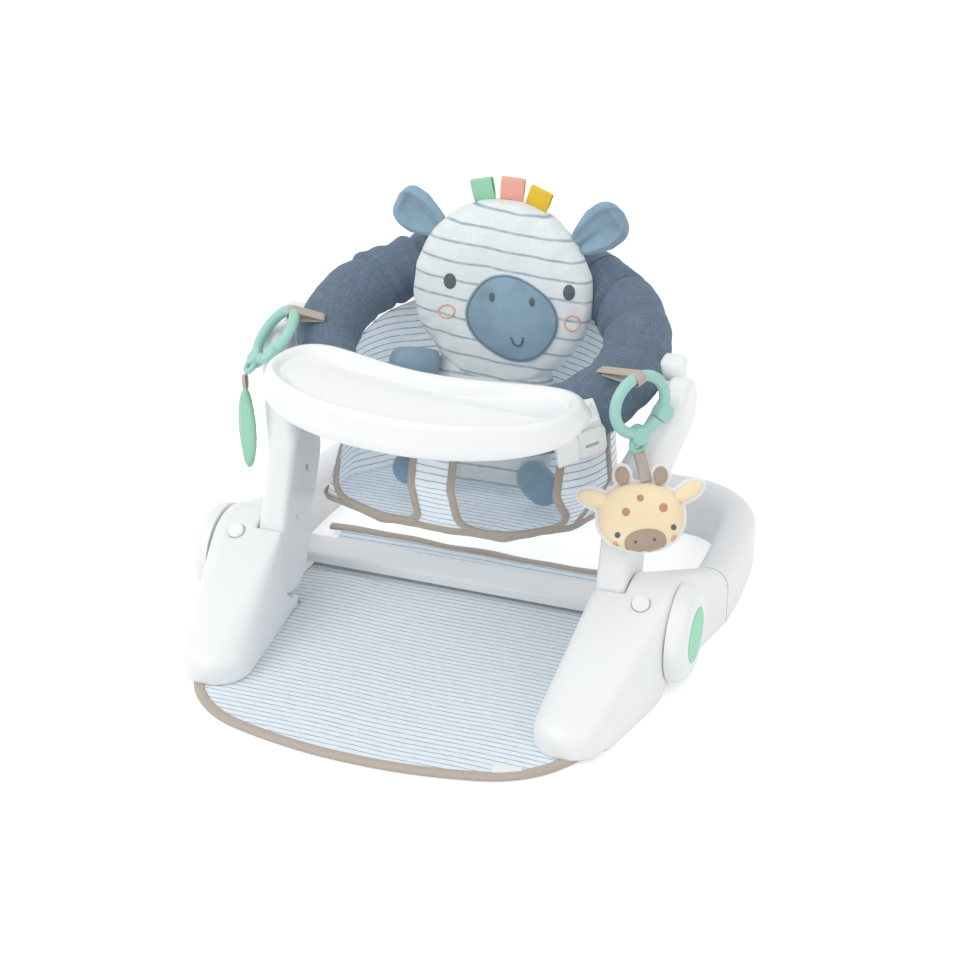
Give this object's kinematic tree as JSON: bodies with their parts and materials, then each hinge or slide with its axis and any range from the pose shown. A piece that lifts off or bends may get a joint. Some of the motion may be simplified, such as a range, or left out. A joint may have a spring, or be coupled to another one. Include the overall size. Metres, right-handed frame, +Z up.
{
  "type": "baby floor seat",
  "caption": "Low baby floor seat: padded ring seat on folding posts over a U-shaped base with floor mat, snack tray, plush pillow and two hanging toys.",
  "frame": {"origin": "on the floor, under the middle of the whole seat", "axes": "+Z up, -Y to the front where the baby faces, +X to the side"},
  "size_m": [0.5325, 0.587, 0.4431],
  "materials": {
    "white_plastic": "satin moulded plastic",
    "green_plastic": "satin disc",
    "steel": "bright",
    "hoop_tube": "tube inside the padding",
    "grey_rubber": "non-slip",
    "striped_fabric": "woven, printed with fine blue stripes",
    "taupe_tape": "woven tape",
    "denim": "blue melange cloth",
    "plush_blue": "short plush",
    "ribbon_fabric": "satin ribbon",
    "mint_plastic": "satin",
    "leaf_rubber": "soft teether",
    "cream_plush": "short plush",
    "brown_plush": "short plush"
  },
  "bodies": {
    "base": {"left_foot": "white_plastic", "right_foot": "white_plastic", "rear_tub": "white_plastic", "left_hub_cap": "white_plastic", "right_hub_cap": "white_plastic", "left_badge": "green_plastic", "right_badge": "green_plastic", "crossbar": "white_plastic", "floor_mat": "striped_fabric", "mat_binding": "taupe_tape", "left_pivot_pin": "steel", "right_pivot_pin": "steel", "base_screws": "steel", "foot_pads": "grey_rubber", "left_button_spring": "steel", "right_button_spring": "steel"},
    "left_button": {"left_release_button": "white_plastic"},
    "right_button": {"right_release_button": "white_plastic"},
    "seat": {"left_post": "white_plastic", "right_post": "white_plastic", "post_screws": "steel", "seat_hoop": "hoop_tube", "ring_padding": "denim", "post_straps": "taupe_tape", "seat_pouch": "striped_fabric", "pouch_piping": "taupe_tape", "crotch_panel": "striped_fabric", "leg_binding": "taupe_tape", "left_toy_strap": "taupe_tape", "right_toy_strap": "taupe_tape", "pillow_head": "striped_fabric", "pillow_muzzle": "plush_blue", "pillow_ears": "plush_blue", "pillow_ribbons": "ribbon_fabric", "pillow_body": "striped_fabric", "pillow_limbs": "plush_blue"},
    "tray": {"tray": "white_plastic", "left_tray_clip": "white_plastic", "right_tray_clip": "white_plastic", "latch_pins": "steel"},
    "left_latch": {"left_tray_latch": "white_plastic"},
    "right_latch": {"right_tray_latch": "white_plastic"},
    "left_toy": {"left_toy_ring": "mint_plastic", "leaf_ribbon": "taupe_tape"},
    "leaf": {"leaf_teether": "leaf_rubber"},
    "right_toy": {"right_toy_ring": "mint_plastic"},
    "giraffe": {"giraffe_face": "cream_plush", "giraffe_muzzle": "brown_plush", "giraffe_ears": "cream_plush", "giraffe_horns": "brown_plush", "giraffe_ribbon": "taupe_tape"}
  },
  "joints": [
    {"name": "seat_fold", "type": "hinge", "parent": "base", "child": "seat", "pos_m": [0, -0.0565, 0.057], "axis": [-1, 0, 0], "range_deg": [0, 45], "deforming": ["seat_pouch", "pouch_piping", "pillow_body"]},
    {"name": "left_button_press", "type": "slide", "parent": "base", "child": "left_button", "axis": [0, 0.6018, -0.7986], "range_m": [0, 0.003], "stiffness_N_per_m": 800, "deforming": ["left_button_spring"]},
    {"name": "right_button_press", "type": "slide", "parent": "base", "child": "right_button", "axis": [0, 0.6018, -0.7986], "range_m": [0, 0.003], "stiffness_N_per_m": 800, "deforming": ["right_button_spring"]},
    {"name": "tray_lift", "type": "slide", "parent": "seat", "child": "tray", "axis": [0, -0.3746, 0.9272], "range_m": [0, 0.06]},
    {"name": "left_latch_release", "type": "hinge", "parent": "tray", "child": "left_latch", "pos_m": [-0.13201, -0.07376, 0.2521], "axis": [-0.766, 0.596, 0.2408], "range_deg": [0, 12], "stiffness_Nm_per_rad": 0.4},
    {"name": "right_latch_release", "type": "hinge", "parent": "tray", "child": "right_latch", "pos_m": [0.13201, -0.07376, 0.2521], "axis": [-0.766, -0.596, -0.2408], "range_deg": [0, 12], "stiffness_Nm_per_rad": 0.4},
    {"name": "left_toy_swing", "type": "hinge", "parent": "seat", "child": "left_toy", "pos_m": [-0.1826, -0.0014, 0.3113], "axis": [-0.3007, 0.8843, 0.3573], "range_deg": [0, 35]},
    {"name": "right_toy_swing", "type": "hinge", "parent": "seat", "child": "right_toy", "pos_m": [0.193, -0.036, 0.311], "axis": [-0.4848, -0.8109, -0.3276], "range_deg": [0, 35]},
    {"name": "leaf_swing", "type": "hinge", "parent": "left_toy", "child": "leaf", "pos_m": [-0.2215, -0.0395, 0.2395], "axis": [-0.7659, 0.6429, 0], "range_deg": [-5, 40]},
    {"name": "giraffe_swing", "type": "hinge", "parent": "right_toy", "child": "giraffe", "pos_m": [0.194, -0.037, 0.2295], "axis": [-0.9703, -0.2421, 0], "range_deg": [0, 40]}
  ]
}
